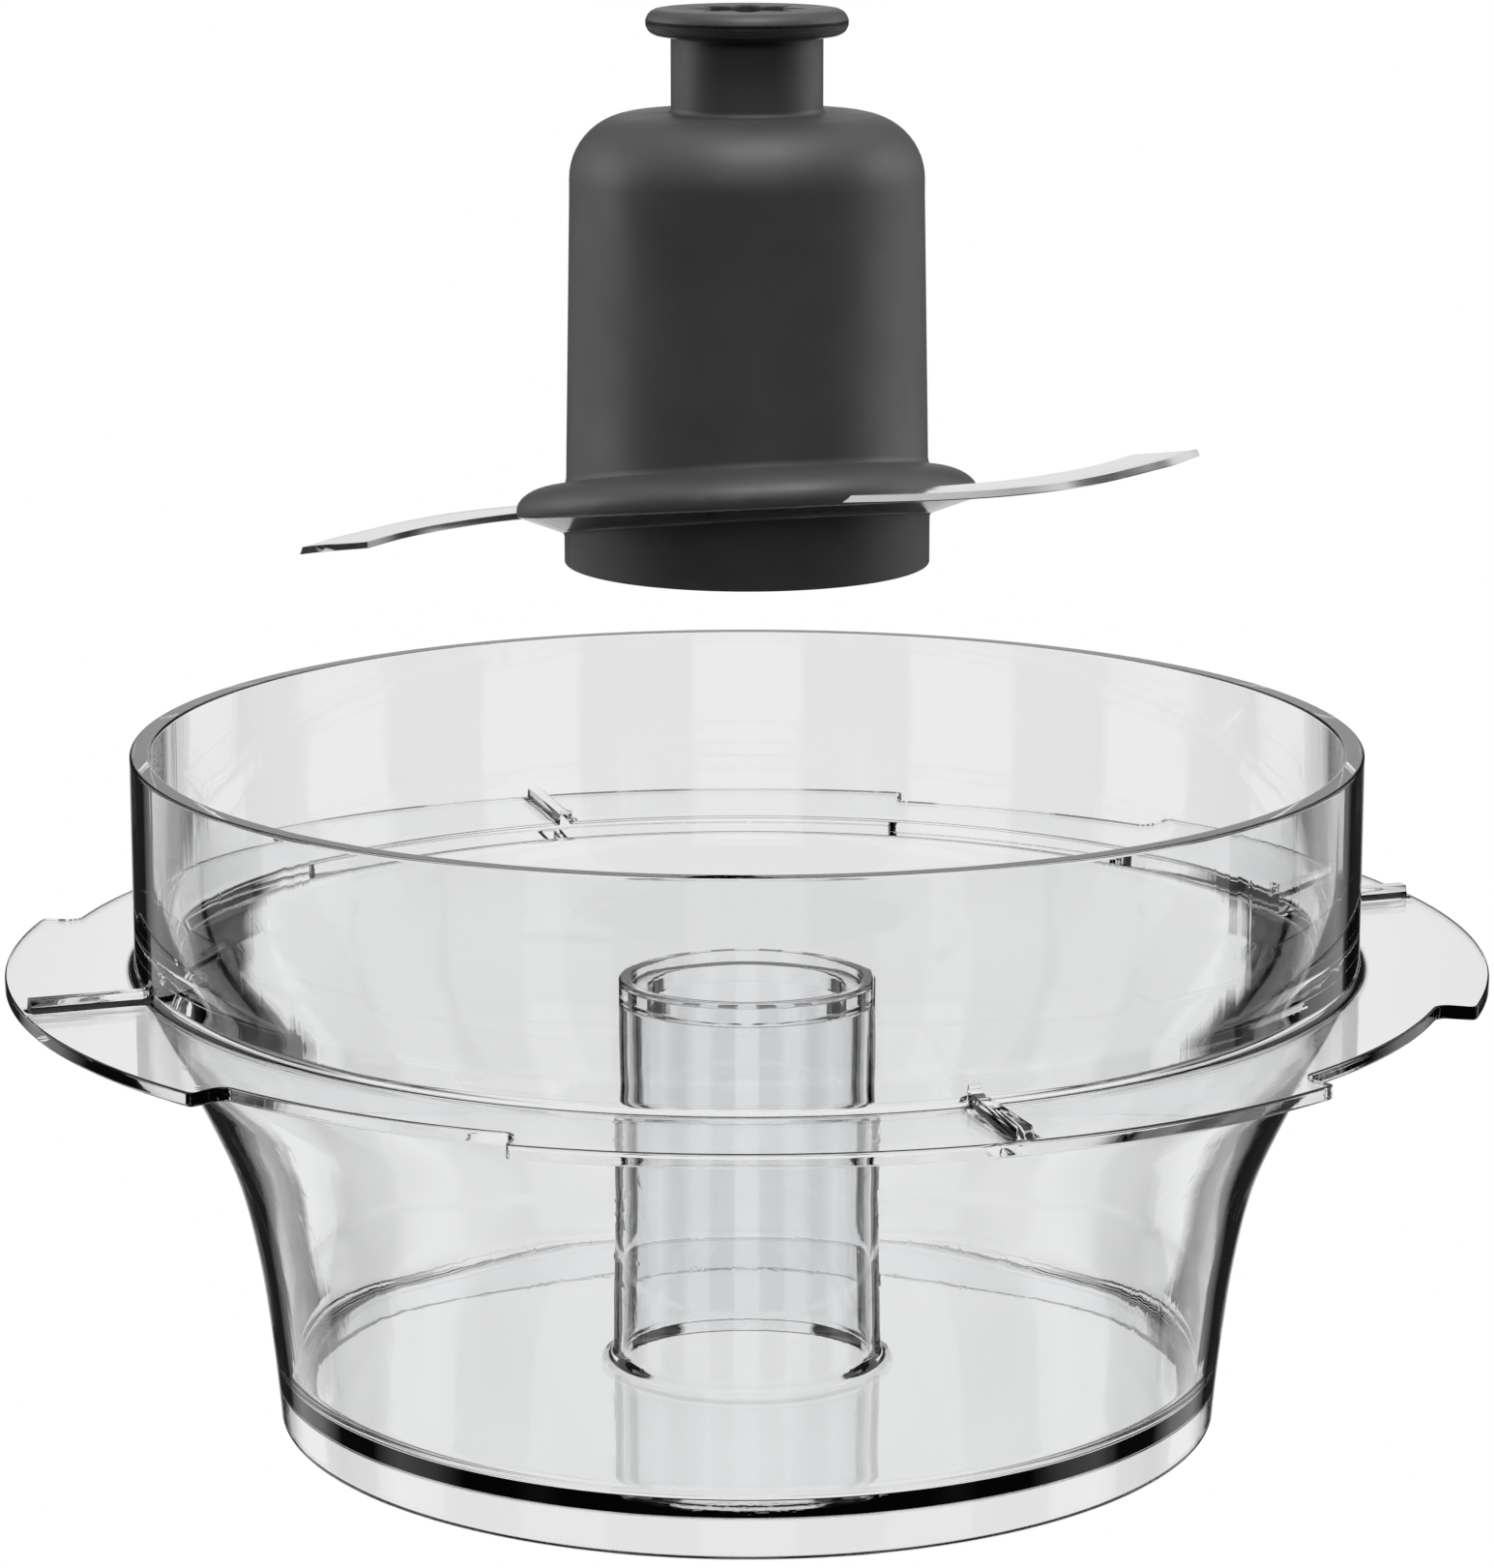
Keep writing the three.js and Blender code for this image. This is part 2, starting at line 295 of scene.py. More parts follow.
hubLook = {
    "dark": (0.030, 0.030, 0.029, 1.0),
    "light": (0.039, 0.039, 0.038, 1.0),
    "rubbed": (0.075, 0.075, 0.073, 1.0),
    "satin": 0.42,       # roughness where it has been handled
    "dull": 0.54,        # roughness of the clean moulding
    "polished": 0.13,    # roughness of surfaces that face down
    "grainDepth": 0.00002,
    "scratch": 0.000006,
    "grain": 2600.0, "mottle": 60.0,
    "patch": 55.0, "lines": 1500.0,
    "wearLow": 0.53, "wearHigh": 0.62,
}


def hubPlastic():
    look = hubLook
    finish = Finish("hubPlastic", {"IOR": 1.5, "Metallic": 0.0})
    grain = finish.group(mouldGrain, {"Size": look["grain"], "Mottle": look["mottle"]})
    hands = finish.group(handling, {"Patch": look["patch"], "Lines": look["lines"]})
    worn = finish.group(edgeWear, {"Low": look["wearLow"], "High": look["wearHigh"]})
    base = finish.mixColour(grain.outputs["Tone"], look["dark"], look["light"])
    finish.feed(finish.mixColour(worn.outputs["Mask"], base, look["rubbed"]), "Base Color")
    upward = addNode(finish.tree, "ShaderNodeSeparateXYZ")
    finish.tree.links.new(finish.place.outputs["Normal"], upward.inputs[0])
    underneath = remap(finish.tree, upward.outputs["Z"], -0.5, -0.8, 0.0, 1.0)
    roughness = addNode(finish.tree, "ShaderNodeMix", values={3: look["polished"]})
    finish.tree.links.new(underneath, roughness.inputs[0])
    handled = finish.roughness(hands.outputs["Mask"], look["dull"], look["satin"])
    finish.tree.links.new(handled, roughness.inputs[2])
    finish.feed(roughness.outputs[0], "Roughness")
    skin = finish.bump(grain.outputs["Height"], look["grainDepth"], 0.6)
    finish.feed(finish.bump(hands.outputs["Scratch"], look["scratch"], 0.4, skin), "Normal")
    return finish.material


steelLook = {
    "bright": (0.86, 0.86, 0.86, 1.0),
    "dim": (0.78, 0.78, 0.79, 1.0),
    "smooth": 0.12,
    "rough": 0.22,
    "groove": 0.000003,
    "scratch": 0.000005,
    "streaks": (40.0, 7000.0, 1.0),    # along and across the grinding
    "patch": 70.0, "lines": 2200.0,
    "wearLow": 0.52, "wearHigh": 0.6,
}


# Ground along the length: the "grind" map runs along the piece in u and across it in v, in metres.
def groundSteel(name, brightness=1.0):
    look = steelLook
    bright = tuple(c * brightness for c in look["bright"][:3]) + (1.0,)
    dim = tuple(c * brightness for c in look["dim"][:3]) + (1.0,)
    finish = Finish(name, {"Metallic": 1.0, "Anisotropic": 0.45})
    lengthways = addNode(finish.tree, "ShaderNodeUVMap", {"uv_map": "grind"})
    stretch = addNode(finish.tree, "ShaderNodeMapping", values={"Scale": look["streaks"]})
    streaks = addNode(finish.tree, "ShaderNodeTexNoise",
                      values={"Scale": 1.0, "Detail": 3.0, "Roughness": 0.6})
    finish.tree.links.new(lengthways.outputs[0], stretch.inputs[0])
    finish.tree.links.new(stretch.outputs[0], streaks.inputs["Vector"])
    hands = finish.group(handling, {"Patch": look["patch"], "Lines": look["lines"]})
    worn = finish.group(edgeWear, {"Low": look["wearLow"], "High": look["wearHigh"]})
    tone = finish.mixColour(remap(finish.tree, streaks.outputs[0], 0.3, 0.7, 0.0, 1.0), dim, bright)
    finish.feed(finish.mixColour(worn.outputs["Mask"], tone, bright), "Base Color")
    roughness = remap(finish.tree, streaks.outputs[0], 0.3, 0.75, look["smooth"], look["rough"])
    finish.feed(roughness, "Roughness")
    ground = finish.bump(streaks.outputs[0], look["groove"], 0.5)
    finish.feed(finish.bump(hands.outputs["Scratch"], look["scratch"], 0.4, ground), "Normal")
    return finish.material


bearingLook = {
    "dark": (0.66, 0.64, 0.58, 1.0),
    "light": (0.74, 0.72, 0.67, 1.0),
    "dull": 0.38,
    "rubbed": 0.27,
    "grainDepth": 0.000008,
    "grain": 1800.0, "mottle": 120.0,
    "patch": 120.0, "lines": 3000.0,
}


def bearingPlastic():
    look = bearingLook
    finish = Finish("bearingPlastic", {
        "IOR": 1.48, "Subsurface Weight": 0.15, "Subsurface Scale": 0.002})
    grain = finish.group(mouldGrain, {"Size": look["grain"], "Mottle": look["mottle"]})
    hands = finish.group(handling, {"Patch": look["patch"], "Lines": look["lines"]})
    finish.feed(finish.mixColour(grain.outputs["Tone"], look["dark"], look["light"]), "Base Color")
    finish.feed(finish.roughness(hands.outputs["Mask"], look["dull"], look["rubbed"]), "Roughness")
    finish.feed(finish.bump(grain.outputs["Height"], look["grainDepth"], 0.5), "Normal")
    return finish.material


clear = clearPlastic()
dark = hubPlastic()
bladeSteel = groundSteel("bladeSteel")
socketSteel = groundSteel("socketSteel", 0.8)
bearing = bearingPlastic()
print("finishes made")


# The clear bowl

bowlShape = {
    "rimRadius": 85.0, "wall": 2.8,
    "footRadius": 65.9, "footWall": 2.4,
    # outer line of the flared side, and inner line of the wall down into it
    "flare": [(65.9, 0.5), (67.0, 11.5), (68.75, 24), (71.5, 35.6), (76.3, 46.8),
              (81.9, 57.2), (84.5, 63.0)],
    "bend": [(82.2, 84.0), (82.1, 79.0), (81.8, 74.0), (81.35, 70.0), (80.8, 66.5),
             (80.2, 62.5), (79.15, 58.4)],
    "floorTop": 7.5, "floorUnderside": 5.4, "floorCorner": 2.7, "floorCornerIn": 0.35,
    # how far above the floor's corner and below the bend the flare's own line is followed inside
    "insideStart": 1.5, "insideEnd": 3,
    "flangeTop": 65.45, "flangeUnderside": 63.55, "flangeRadius": 97.5,
    "lugs": [(169.2, 227), (253.3, 316.5), (342, 410), (436, 497.5)],
    "stepHollow": 2.0, "stepCorner": 0.8,
    "ribs": [19.5, 109.5, 199.5, 289.5],
    "ribWidth": 1.9, "ribHeight": 1.6, "ribEnd": 101.5, "ribFlank": 0.12,
    "tubeTop": 61.25, "tubeTopRadius": 18.0, "tubeFootRadius": 18.9, "tubeWall": 1.4, "tubeFillet": 1.8,
    "seatRadius": 16.1, "seat": 59.75, "mouthRadius": 13.6, "mouthBottom": 56.75,
    "columns": 240,
}


# How far the flange reaches at an angle: plain, or out to a lug through a hollow and a rounded corner.
def flangeEdge(angle):
    shape = bowlShape
    rise = bowlHigh.x - shape["flangeRadius"]
    hollow, corner = shape["stepHollow"], shape["stepCorner"]
    inLug = 0
    for start, end in shape["lugs"]:
        for turn in (-360, 0, 360):
            fromStart = (angle + turn - start) * math.radians(shape["flangeRadius"])
            fromEnd = (end - angle - turn) * math.radians(shape["flangeRadius"])
            inside = min(fromStart, fromEnd)
            if inside >= corner:
                height = rise
            elif inside > 0:
                height = rise - corner + math.sqrt(corner ** 2 - (corner - inside) ** 2)
            elif inside > -hollow:
                height = hollow - math.sqrt(hollow ** 2 - (inside + hollow) ** 2)
            else:
                height = 0
            inLug = max(inLug, height)
    return shape["flangeRadius"] + inLug


# How much higher than the flange a rib is at an angle.
def ribRise(angle):
    shape = bowlShape
    middle = (shape["flangeRadius"] + shape["rimRadius"]) / 2
    for rib in shape["ribs"]:
        away = abs((angle - rib + 180) % 360 - 180) * math.radians(middle)
        flank = (shape["ribWidth"] / 2 + shape["ribFlank"] - away) / shape["ribFlank"]
        if flank > 0:
            return shape["ribHeight"] * min(flank, 1)
    return 0


# Even columns, with closer ones at each step in the flange and each side of a rib.
def bowlAngles():
    shape = bowlShape
    perMm = 1 / math.radians(shape["flangeRadius"])
    special = []
    for start, end in shape["lugs"]:
        for offset in (-2.2, -2, -1.5, -1, -0.6, -0.3, -0.1, 0.0, 0.06, 0.2, 0.45, 0.8, 1.0):
            special += [start + offset * perMm, end - offset * perMm]
    half = shape["ribWidth"] / 2
    for rib in shape["ribs"]:
        for offset in (half + 0.2, half + shape["ribFlank"], half, half - 0.08, 0):
            special += [rib + offset * perMm, rib - offset * perMm]
    special = {round(a % 360, 5) for a in special}
    plain = [a for a in evenAngles(shape["columns"]) if min(abs(a - s) for s in special) > 0.3]
    return sorted(special | set(plain))


# The same line, moved inwards by the wall's thickness.
def insideOf(line, wall):
    inner = []
    for i in range(1, len(line) - 1):
        along = (line[i + 1] - line[i - 1]).normalized()
        inner.append((line[i].x - wall * along.y, line[i].y + wall * along.x, 0))
    return inner


def bowlLoopMaker():
    shape = bowlShape
    flare = smoothLine(shape["flare"], 6)
    wallInside = shape["rimRadius"] - shape["wall"]
    bend = smoothLine(shape["bend"], 4)
    lowest = shape["floorTop"] + shape["floorCorner"] + shape["insideStart"]
    highest = shape["bend"][-1][1] - shape["insideEnd"]
    inner = [p for p in insideOf(flare, shape["wall"]) if lowest < p[1] < highest]
    cornerRadius = inner[0][0] - shape["floorCornerIn"]

    def loopAt(angle):
        edge = flangeEdge(angle)
        top = shape["flangeTop"] + ribRise(angle)
        ribEnd = min(shape["ribEnd"], edge - 0.9)
        return roundedLoop([
            (shape["footRadius"] - shape["footWall"], 0, 0.4),
            (shape["footRadius"], 0, 0.4),
            *[(p.x, p.y, 0) for p in flare[1:-1]],
            (shape["rimRadius"] - 0.1, shape["flangeUnderside"], 0.8),
            (edge, shape["flangeUnderside"], 0.3),
            (edge, shape["flangeTop"], 0.3),
            (ribEnd + shape["ribFlank"], shape["flangeTop"], 0),
            (ribEnd, top, 0),
            (shape["rimRadius"], top, 1.1),
            (shape["rimRadius"], bowlHigh.z, 0.4),
            (wallInside, bowlHigh.z, 0.4),
            *[(p.x, p.y, 0) for p in bend],
            *inner[::-1],
            (cornerRadius, shape["floorTop"], shape["floorCorner"]),
            (shape["tubeFootRadius"], shape["floorTop"], shape["tubeFillet"]),
            (shape["tubeTopRadius"], shape["tubeTop"], 0.5),
            (shape["seatRadius"], shape["tubeTop"], 0.4),
            (shape["seatRadius"], shape["seat"], 0.3),
            (shape["mouthRadius"], shape["seat"], 0.4),
            (shape["mouthRadius"], shape["mouthBottom"], 0.4),
            (shape["tubeTopRadius"] - shape["tubeWall"], shape["mouthBottom"], 0.5),
            (shape["tubeFootRadius"] - shape["tubeWall"], shape["floorUnderside"], 2.4),
            (shape["footRadius"] - shape["footWall"], shape["floorUnderside"], 0.6),
        ])
    return loopAt


bowl = sweptSkin("clear_bowl", bowlLoopMaker(), bowlAngles())
standsFor(bowl, "bowl_body", "clear_plastic", clear, "bowl")
print("bowl made:", len(bowl.data.vertices), "points")


# The hub, with its cap and collar

hubShape = {
    "footRadius": 25.05, "bodyRadius": 24.78, "topRadius": 24.1, "wall": 2.6,
    "shoulderStart": 52.4, "shoulderRadius": 8.8, "shoulderTop": 61.3,
    "neckRadius": 10.3, "neckBore": 9.0, "capUnderside": 71.6,
    "ceiling": 58.4, "ceilingRadius": 17.8, "ceilingCorner": 20.3, "ceilingDrop": 1.6,
    "collarRadius": 31.6, "collarRise": 3.7, "collarDrop": 3.2, "collarFillet": 0.8,
    "collarMiddle": 8.3, "leanRight": 1.4, "leanFront": 4.7,
    "lobes": 8, "lobeRadius": 7.9, "rootRadius": 5.3,
    "columns": 288,
}


def splineRadius(angle):
    middle = (hubShape["lobeRadius"] + hubShape["rootRadius"]) / 2
    wave = (hubShape["lobeRadius"] - hubShape["rootRadius"]) / 2
    return middle + wave * math.cos(hubShape["lobes"] * math.radians(angle))


def collarHeight(angle):
    a = math.radians(angle)
    lean = hubShape["leanRight"] * math.cos(a) - hubShape["leanFront"] * math.sin(a)
    return hubShape["collarMiddle"] + lean


def hubLoop(angle):
    shape = hubShape
    edge = collarHeight(angle)
    capHeight = capHigh.z - hubBase
    capRound = (capHeight - shape["capUnderside"]) / 2 - 0.05
    spline = splineRadius(angle)
    reach = shape["collarRadius"] - shape["bodyRadius"]
    collar = []
    for step in range(12):
        a = math.radians(8 * step)
        collar.append((shape["bodyRadius"] + reach * math.cos(a),
                       edge + shape["collarRise"] * math.sin(a), 0))
    shoulder = []
    for step in range(13):
        a = math.radians(80 * step / 12)
        shoulder.append((shape["topRadius"] - shape["shoulderRadius"] * (1 - math.cos(a)),
                         shape["shoulderStart"] + shape["shoulderRadius"] * math.sin(a), 0))
    return roundedLoop([
        (shape["footRadius"] - shape["wall"], 0, 0.3),
        (shape["footRadius"], 0, 0.15),
        (shape["footRadius"], edge - shape["collarDrop"], 0.6),
        (shape["collarRadius"], edge - 0.9, 0.7),
        *collar,
        (shape["bodyRadius"] + 0.12, edge + shape["collarRise"] + 0.25, 0),
        (shape["bodyRadius"], edge + shape["collarRise"] + shape["collarFillet"], 0),
        (shape["topRadius"], shape["shoulderStart"] - 2, 0),
        *shoulder,
        (shape["neckRadius"], shape["shoulderTop"], 0.7),
        (shape["neckRadius"], shape["capUnderside"], 0.3),
        (capHigh.x, shape["capUnderside"], capRound),
        (capHigh.x, capHeight, capRound),
        (spline, capHeight, 0.25),
        (spline, shape["capUnderside"], 0),
        (shape["neckBore"], shape["capUnderside"], 0),
        (shape["neckBore"], shape["ceiling"], 0.2),
        (shape["ceilingRadius"], shape["ceiling"], 0.8),
        (shape["ceilingCorner"], shape["ceiling"] - shape["ceilingDrop"], 1.0),
        (shape["topRadius"] - shape["wall"], shape["shoulderStart"], 0),
    ])


hub = sweptSkin("hub_moulding", hubLoop, evenAngles(hubShape["columns"]), hubBase)


# angle, inner radius and height of the groove that runs along a blade root and falls towards the blade
grooveShape = {
    "stations": [(-119.5, 29.9, 13.7), (-115, 29.2, 13.55), (-108, 29.4, 13.35), (-99, 29.8, 13.15),
                 (-90, 30.1, 13.0), (-78, 30.2, 12.75), (-66, 30.3, 12.5)],
    "thickness": 0.5, "outer": 34,
    "copies": [(0, 0), (180, 9.4)],    # turn, and how much lower
}


def grooveCutter(turn, drop):
    stations = grooveShape["stations"]
    points, faces = [], []
    for thickness in (0, grooveShape["thickness"]):
        ring = [(inner, angle, level) for angle, inner, level in stations]
        ring += [(grooveShape["outer"], angle, level) for angle, inner, level in reversed(stations)]
        for reach, angle, level in ring:
            a = math.radians(angle + turn)
            height = level - drop + thickness + hubBase
            points.append((reach * math.cos(a), reach * math.sin(a), height))
    count = 2 * len(stations)
    faces.append(tuple(range(count - 1, -1, -1)))
    faces.append(tuple(range(count, 2 * count)))
    for i in range(count):
        j = (i + 1) % count
        faces.append((i, j, count + j, count + i))
    return meshObject("grooveCutter", points, faces, smooth=False)


def applyCut(piece, cutter):
    cut = piece.modifiers.new("cut", "BOOLEAN")
    cut.operation = "DIFFERENCE"
    cut.solver = "EXACT"
    cut.object = cutter
    bpy.context.view_layer.update()
    made = bpy.data.meshes.new_from_object(piece.evaluated_get(bpy.context.evaluated_depsgraph_get()))
    piece.modifiers.clear()
    piece.data = made
    bpy.data.objects.remove(cutter)


for turn, drop in grooveShape["copies"]:
    applyCut(hub, grooveCutter(turn, drop))
hub.data.set_sharp_from_angle(angle=math.radians(35))
standsFor(hub, "blade_unit", "hub_plastic", dark, "hub_shell", "grip_cap", "blade_collar")
print("hub made:", len(hub.data.vertices), "points")


# The blades

bladeShape = {
    "bevelWidth": 0.45, "bevelDrop": 0.85,
    "edge": 0.08, "bevelRound": 0.05,    # breaks of the back edges and of the bevel
    "cuttingEdge": [(-4, -28.6), (4, -29.6), (12.5, -29.0), (22, -27.6), (30.3, -25.1), (36, -22.3),
                    (42.8, -17.3), (48, -11.6), (51.9, -6.2), (56, 0), (59.3, 5.2), (63.1, 13.0)],
    "backEdge": [(-4, -25.2), (4, -26.0), (12.5, -25.0), (22, -22.0), (30.4, -17.9), (36.0, -14.3),
                 (41.0, -9.6), (45.2, -5.0), (49.0, 0.3), (53.2, 7.9)],
    "spur": (61.0, 11.4),
    "rootRadius": 32,    # beyond this the blade is stretched to its reach
    "upperReach": 64.4, "lowerReach": 61.6,
}


# A strip lofted from cross sections: flat on top, ground down to a fine edge on one side.
def makeBlade(name, node, turn, reach):
    shape = bladeShape
    low, high = boxOf(node)
    cutting = smoothLine(shape["cuttingEdge"], 6)
    back = smoothLine(shape["backEdge"], 6)
    tip, heel, spur = cutting[-1], back[-1], Vector(shape["spur"])
    steps = 10
    back += [heel.lerp(spur, (i + 1) / steps) for i in range(steps)]
    wanted = len(back)
    cutting = resample(cutting, wanted)
    back = resample(back, wanted)
    points, marks = [], []
    a = math.radians(turn)
    root, far = shape["rootRadius"], tip.length
    run = 0
    for i, (c, b) in enumerate(zip(cutting, back)):
        if i:
            run += (c - cutting[i - 1]).length
        across = (c - b)
        width = across.length
        unit = across.normalized() if width > 1e-6 else Vector((1, 0))
        bevel = min(shape["bevelWidth"], width * 0.5)
        edge, small = shape["edge"], shape["bevelRound"]
        section = [
            (b, high.z - edge), (b + unit * edge, high.z), (b + unit * (width * 0.5), high.z),
            (c - unit * (bevel + small), high.z), (c - unit * bevel, high.z - 0.01),
            (c, high.z - shape["bevelDrop"]), (c, low.z + 0.02), (c - unit * small, low.z),
            (b + unit * (width * 0.5), low.z), (b + unit * edge, low.z), (b, low.z + edge),
        ]
        for p, z in section:
            grow = 1 + (reach / far - 1) * min(max((p.length - root) / (far - root), 0), 1)
            q = p * grow
            x, y = q.x * math.cos(a) - q.y * math.sin(a), q.x * math.sin(a) + q.y * math.cos(a)
            points.append((x, y, z))
            marks.append((run * mm, (p - b).length * mm))
    rows = len(section)
    faces = []
    for i in range(wanted - 1):
        for k in range(rows):
            n = (k + 1) % rows
            faces.append((i * rows + k, (i + 1) * rows + k, (i + 1) * rows + n, i * rows + n))
    faces.append(tuple(range(rows)))
    faces.append(tuple(range(wanted * rows - 1, (wanted - 1) * rows - 1, -1)))
    blade = meshObject(name, points, faces)
    grind = blade.data.uv_layers.new(name="grind")
    for loop in blade.data.loops:
        grind.data[loop.index].uv = marks[loop.vertex_index]
    blade.data.set_sharp_from_angle(angle=math.radians(22))
    return blade


# The same line, as evenly spaced points.
def resample(line, count):
    lengths = [0]
    for a, b in zip(line, line[1:]):
        lengths.append(lengths[-1] + (b - a).length)
    made, k = [], 0
    for i in range(count):
        target = lengths[-1] * i / (count - 1)
        while k < len(line) - 2 and lengths[k + 1] < target:
            k += 1
        span = lengths[k + 1] - lengths[k]
        made.append(line[k].lerp(line[k + 1], (target - lengths[k]) / span))
    return made


upper = makeBlade("blade_upper", "upper_blade", 0, bladeShape["upperReach"])
standsFor(upper, "blade_unit", "blade_steel", bladeSteel, "upper_blade")
lower = makeBlade("blade_lower", "lower_blade", 180, bladeShape["lowerReach"])
standsFor(lower, "blade_unit", "blade_steel", bladeSteel, "lower_blade")
print("blades made")


# Inside the hub

innerShape = {
    "columns": 144, "edge": 0.25,
    "sleeveBore": 19.5,
    "closingInner": 20.3, "closingOuter": 22.2,
    "splineColumns": 288, "splineEdge": 0.1, "splineMapRadius": 0.008,
    "bushBore": 9.3, "bushFoot": 15.5, "bushStep": 1.55,
}


def plainRing(low, high, inner, outer):
    e = innerShape["edge"]
    corners = [(inner, low, e), (outer, low, e), (outer, high, e), (inner, high, e)]
    return lambda angle: roundedLoop(corners, 3)


def makeInnerParts():
    shape = innerShape
    angles = evenAngles(shape["columns"])
    low, high = boxOf("hub_liner")
    liner = sweptSkin("inner_sleeve", plainRing(low.z, high.z, shape["sleeveBore"], high.x), angles)
    standsFor(liner, "blade_unit", "hub_plastic", dark, "hub_liner")
    low, high = boxOf("base_ring")
    section = plainRing(low.z, high.z, shape["closingInner"], shape["closingOuter"])
    ring = sweptSkin("closing_ring", section, angles)
    standsFor(ring, "blade_unit", "hub_plastic", dark, "base_ring")


def splinedSleeve(low, high, outer):
    e = innerShape["splineEdge"]
    return lambda angle: roundedLoop([(splineRadius(angle), low, e), (outer, low, e),
                                      (outer, high, e), (splineRadius(angle), high, e)], 2)


def makeSocket():
    shape = innerShape
    low, high = boxOf("drive_socket")
    angles = evenAngles(shape["splineColumns"])
    socket = sweptSkin("spline_sleeve", splinedSleeve(low.z, high.z, high.x), angles)
    grind = socket.data.uv_layers.new(name="grind")
    for loop in socket.data.loops:
        place = socket.data.vertices[loop.vertex_index].co
        grind.data[loop.index].uv = (math.atan2(place.y, place.x) * shape["splineMapRadius"], place.z)
    standsFor(socket, "blade_unit", "socket_steel", socketSteel, "drive_socket")


def makeBush():
    low, high = boxOf("steady_bush")
    bore, foot = innerShape["bushBore"], innerShape["bushFoot"]
    step = low.z + innerShape["bushStep"]

    def loopAt(angle):
        return roundedLoop([(bore, low.z, 0.4), (foot, low.z, 0.5), (foot, step, 0.15),
                            (high.x, step, 0.3), (high.x, high.z, 0.3), (bore, high.z, 0.3)], 3)
    bush = sweptSkin("bearing_ring", loopAt, evenAngles(innerShape["columns"]))
    standsFor(bush, "steady_body", "bush_plastic", bearing, "steady_bush")


makeInnerParts()
makeSocket()
makeBush()
print("inner parts made")


# Floor, light and camera

studio = {
    "floorRadius": 620, "floorCentre": 60,    # in millimetres, and the rest in metres
    # strength of the floor's painted glow in front of the pieces and behind them
    "floorGlowFront": 0.03, "floorGlowBack": 0.75,
    "cameraDistance": 0.7314, "cameraPitch": 12.084, "aimHeight": 0.08917, "lens": 121.1,
    # eight panels, as seen through the clear plastic: strength, and half width in degrees
    "panel": 0.86, "between": 0.0, "panelHalf": 10.5, "panelSoft": 1.5,
    # the same panels as reflected, with softer sides
    "glow": 0.86, "glowBetween": 0.0, "glowStart": 6.0, "glowEnd": 16.0,
    "overhead": 0.9, "above": 0.35, "front": 0.03,
    "lightAim": (0, 0, 0.16),
    # name, place, width, height, power in watts
    "lights": [
        ("left", (-0.7, 0.15, 0.35), 0.4, 0.5, 2.0),
        ("right", (0.7, 0.2, 0.35), 0.4, 0.5, 2.1),
        ("top", (0.1, -0.25, 0.9), 0.5, 0.4, 5.0),
        ("fill", (0.0, -0.8, 0.6), 0.8, 0.3, 1.6),
    ],
}


# White to the eye. Towards the pieces it is a painted glow, brighter behind them than in front,
# standing in for a floor lit from behind.
def makeFloor():
    count = 96
    radius, middle = studio["floorRadius"], studio["floorCentre"]
    points = [(0, middle, 0)]
    for angle in evenAngles(count):
        a = math.radians(angle)
        points.append((radius * math.cos(a), middle + radius * math.sin(a), 0))
    faces = [(0, i + 1, (i + 1) % count + 1) for i in range(count)]
    floor = meshObject("floor", points, faces)
    floor.visible_transmission = False
    floor.visible_glossy = False
    material = bpy.data.materials.new("paleFloor")
    material.use_nodes = True
    tree = material.node_tree
    tree.nodes.clear()
    place = addNode(tree, "ShaderNodeTexCoord")
    split = addNode(tree, "ShaderNodeSeparateXYZ")
    tree.links.new(place.outputs["Object"], split.inputs[0])
    # painted glow: brighter behind the pieces than in front, as if the floor were lit from behind
    paintedGlow = remap(tree, split.outputs["Y"], -0.05, 0.2, studio["floorGlowFront"], studio["floorGlowBack"])
    rays = addNode(tree, "ShaderNodeLightPath")
    amount = addNode(tree, "ShaderNodeMath", {"operation": "MAXIMUM"})
    paint = addNode(tree, "ShaderNodeEmission", values={"Color": (1, 1, 1, 1)})
    output = addNode(tree, "ShaderNodeOutputMaterial")
    tree.links.new(paintedGlow, amount.inputs[0])
    tree.links.new(rays.outputs["Is Camera Ray"], amount.inputs[1])
    tree.links.new(amount.outputs[0], paint.inputs["Strength"])
    tree.links.new(paint.outputs[0], output.inputs["Surface"])
    floor.data.materials.append(material)


def mathNode(tree, operation, first, second=None):
    node = addNode(tree, "ShaderNodeMath", {"operation": operation})
    for socket, value in zip(node.inputs, (first, second)):
        if isinstance(value, (int, float)):
            socket.default_value = value
        elif value is not None:
            tree.links.new(value, socket)
    return node.outputs[0]


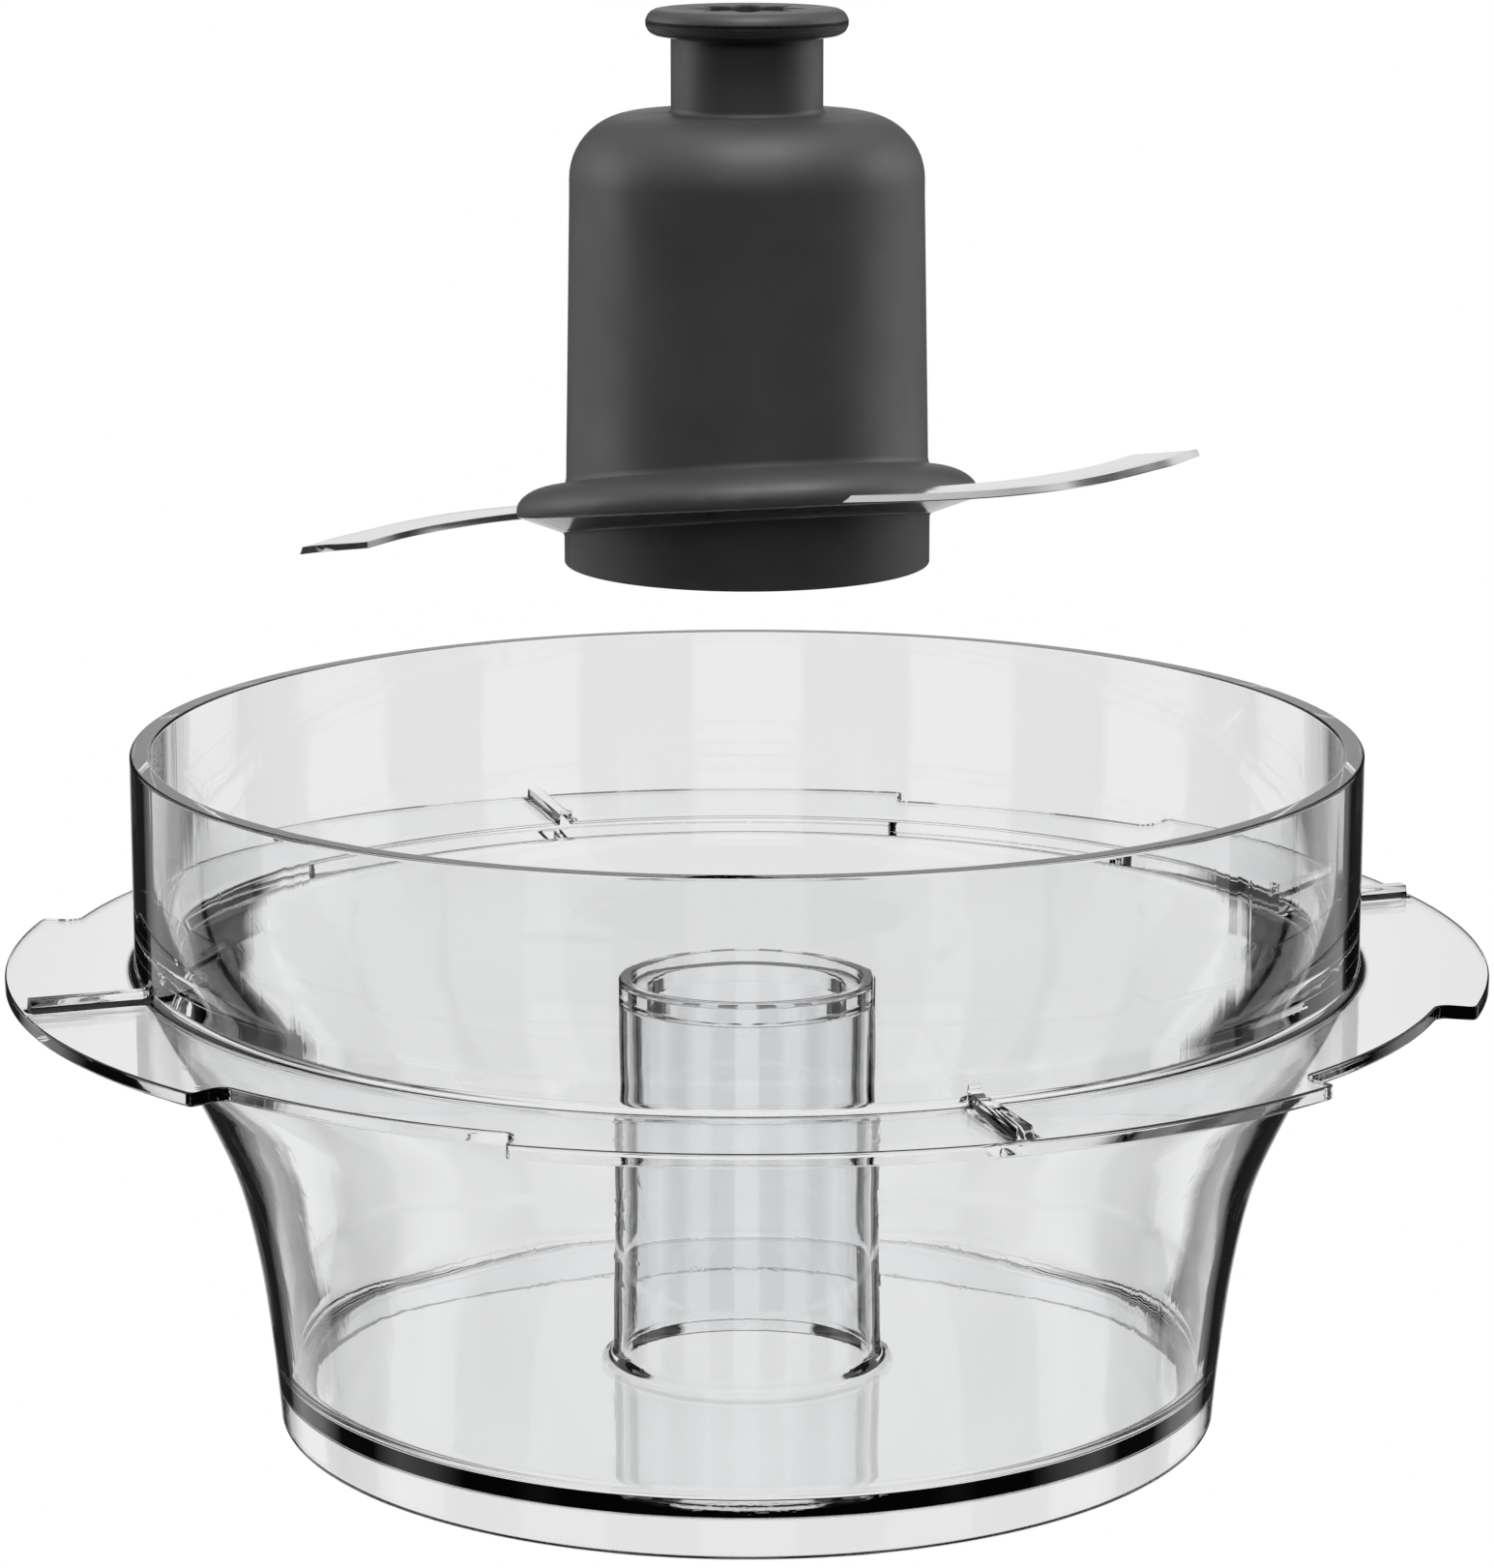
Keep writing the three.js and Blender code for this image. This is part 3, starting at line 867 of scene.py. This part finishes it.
# The room. Seen through clear plastic it is eight tall pale panels with black gaps, which draw
# its edges dark. For everything else it is bright overhead and behind, and dark in front.
def makeRoom():
    world = bpy.data.worlds.new("room")
    bpy.context.scene.world = world
    world.use_nodes = True
    tree = world.node_tree
    tree.nodes.clear()
    place = addNode(tree, "ShaderNodeTexCoord")
    split = addNode(tree, "ShaderNodeSeparateXYZ")
    tree.links.new(place.outputs["Generated"], split.inputs[0])
    heading = mathNode(tree, "ARCTAN2", split.outputs["Y"], split.outputs["X"])
    quarter = math.pi / 4
    away = mathNode(tree, "PINGPONG", heading, quarter / 2)
    half, soft = math.radians(studio["panelHalf"]), math.radians(studio["panelSoft"])
    panels = remap(tree, away, half, half + soft, studio["panel"], studio["between"])
    steep = remap(tree, split.outputs["Z"], -0.62, -0.75, 0.0, studio["panel"])
    through = mathNode(tree, "MAXIMUM", panels, steep)
    above = remap(tree, split.outputs["Z"], studio["above"], 0.85, studio["front"], studio["overhead"])
    facing = remap(tree, split.outputs["Y"], -0.6, 0.1, studio["front"], 1.0)
    glow = remap(tree, away, math.radians(studio["glowStart"]), math.radians(studio["glowEnd"]),
                 studio["glow"], studio["glowBetween"])
    around = mathNode(tree, "MAXIMUM", above, mathNode(tree, "MULTIPLY", glow, facing))
    rays = addNode(tree, "ShaderNodeLightPath")
    mix = addNode(tree, "ShaderNodeMix")
    tree.links.new(rays.outputs["Is Transmission Ray"], mix.inputs[0])
    tree.links.new(around, mix.inputs[2])
    tree.links.new(through, mix.inputs[3])
    seen = addNode(tree, "ShaderNodeBackground", values={"Color": (1, 1, 1, 1), "Strength": 1.0})
    lighting = addNode(tree, "ShaderNodeBackground", values={"Color": (1, 1, 1, 1)})
    tree.links.new(mix.outputs[0], lighting.inputs["Strength"])
    choose = addNode(tree, "ShaderNodeMixShader")
    output = addNode(tree, "ShaderNodeOutputWorld")
    tree.links.new(rays.outputs["Is Camera Ray"], choose.inputs[0])
    tree.links.new(lighting.outputs[0], choose.inputs[1])
    tree.links.new(seen.outputs[0], choose.inputs[2])
    tree.links.new(choose.outputs[0], output.inputs["Surface"])


# A light that falls on the blade unit's hub only.
def softLight(name, place, width, height, power):
    light = bpy.data.lights.new(name, "AREA")
    light.shape = "RECTANGLE"
    light.size, light.size_y, light.energy = width, height, power
    lamp = bpy.data.objects.new(name, light)
    lamp.location = place
    aim = Vector(studio["lightAim"]) - Vector(place)
    lamp.rotation_euler = aim.to_track_quat("-Z", "Y").to_euler()
    lamp.visible_camera = False
    lamp.visible_transmission = False
    lamp.light_linking.receiver_collection = bladeUnitPieces
    bpy.context.scene.collection.objects.link(lamp)


def makeCamera():
    pitch = math.radians(studio["cameraPitch"])
    aim = Vector((0, 0, studio["aimHeight"]))
    back = Vector((0, -math.cos(pitch), math.sin(pitch)))
    camera = bpy.data.objects.new("camera", bpy.data.cameras.new("camera"))
    camera.data.lens = studio["lens"]
    camera.data.sensor_width = 36
    camera.data.clip_start = 0.05
    camera.location = aim + back * studio["cameraDistance"]
    camera.rotation_euler = (-back).to_track_quat("-Z", "Y").to_euler()
    bpy.context.scene.collection.objects.link(camera)
    bpy.context.scene.camera = camera


makeFloor()
makeRoom()
bladeUnitPieces = bpy.data.collections.new("bladeUnitPieces")
bladeUnitPieces.objects.link(hub)
for light in studio["lights"]:
    softLight(*light)
makeCamera()
bpy.context.scene.view_settings.view_transform = "Standard"
print("studio made")
